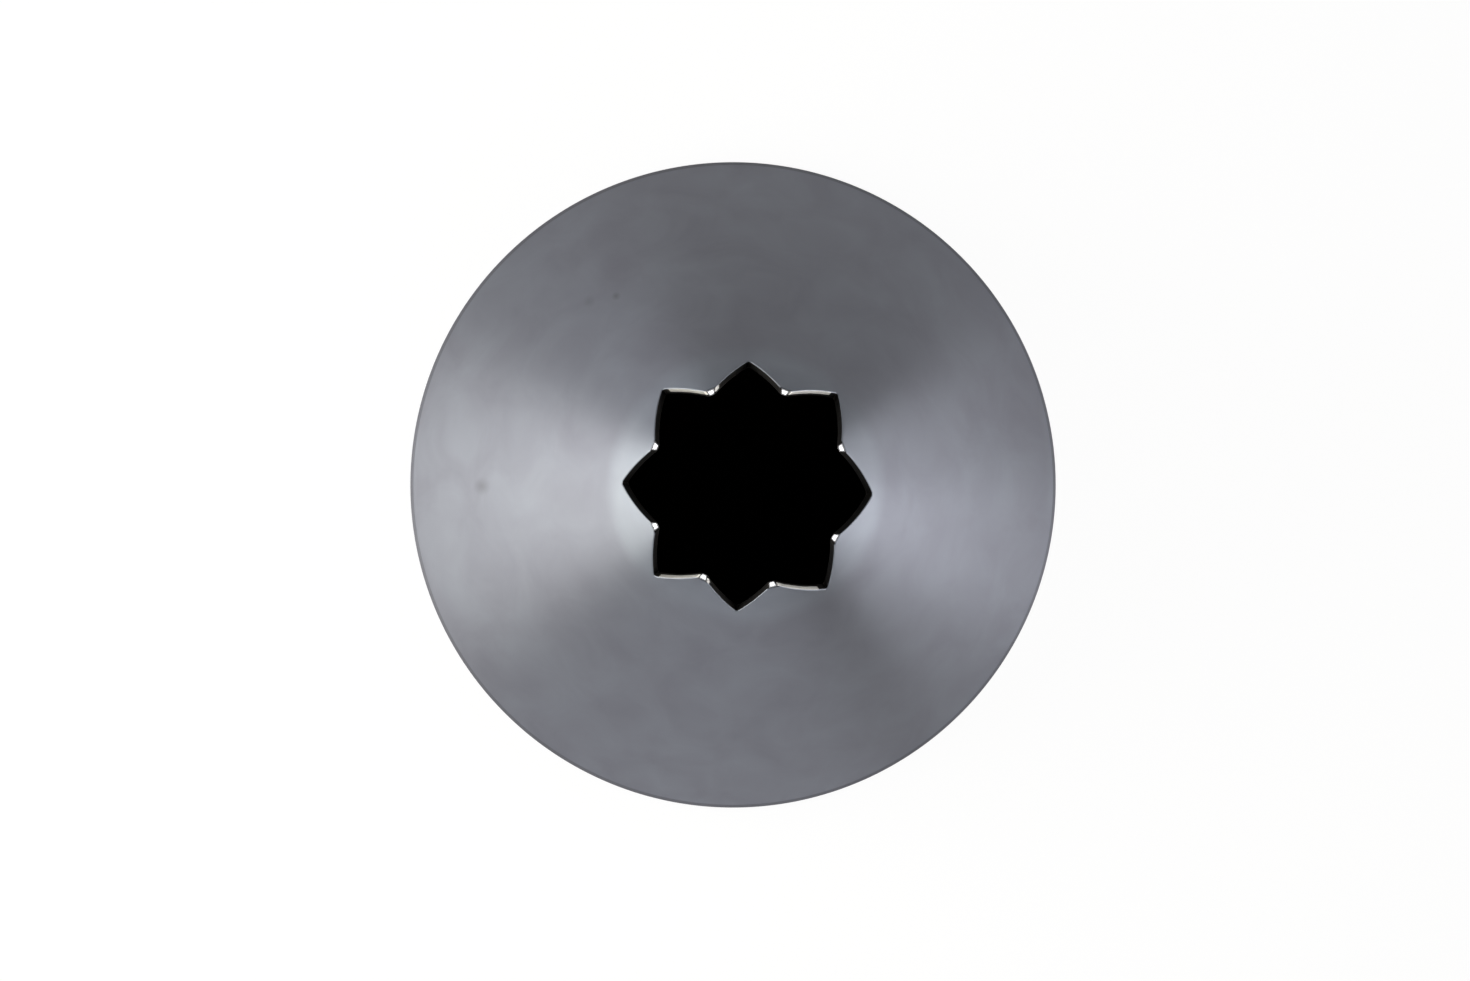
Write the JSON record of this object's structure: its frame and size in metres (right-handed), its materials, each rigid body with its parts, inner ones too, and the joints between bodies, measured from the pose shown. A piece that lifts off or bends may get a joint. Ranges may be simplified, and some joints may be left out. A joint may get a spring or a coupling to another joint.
{
  "type": "piping nozzle",
  "caption": "Tapered sheet-steel piping nozzle with a toothed open-star mouth and a folded rim, for shaping cream, icing or dough squeezed from a piping bag.",
  "frame": {"origin": "middle of the rim, in the plane that the rim stands on", "axes": "+Z along the cone's axis from the rim to the star mouth; +X through the even place of the first notch"},
  "size_m": [0.034, 0.034, 0.05],
  "materials": {
    "steel": "fine turned satin"
  },
  "bodies": {
    "root": {"nozzle_shell": "steel"}
  },
  "joints": []
}
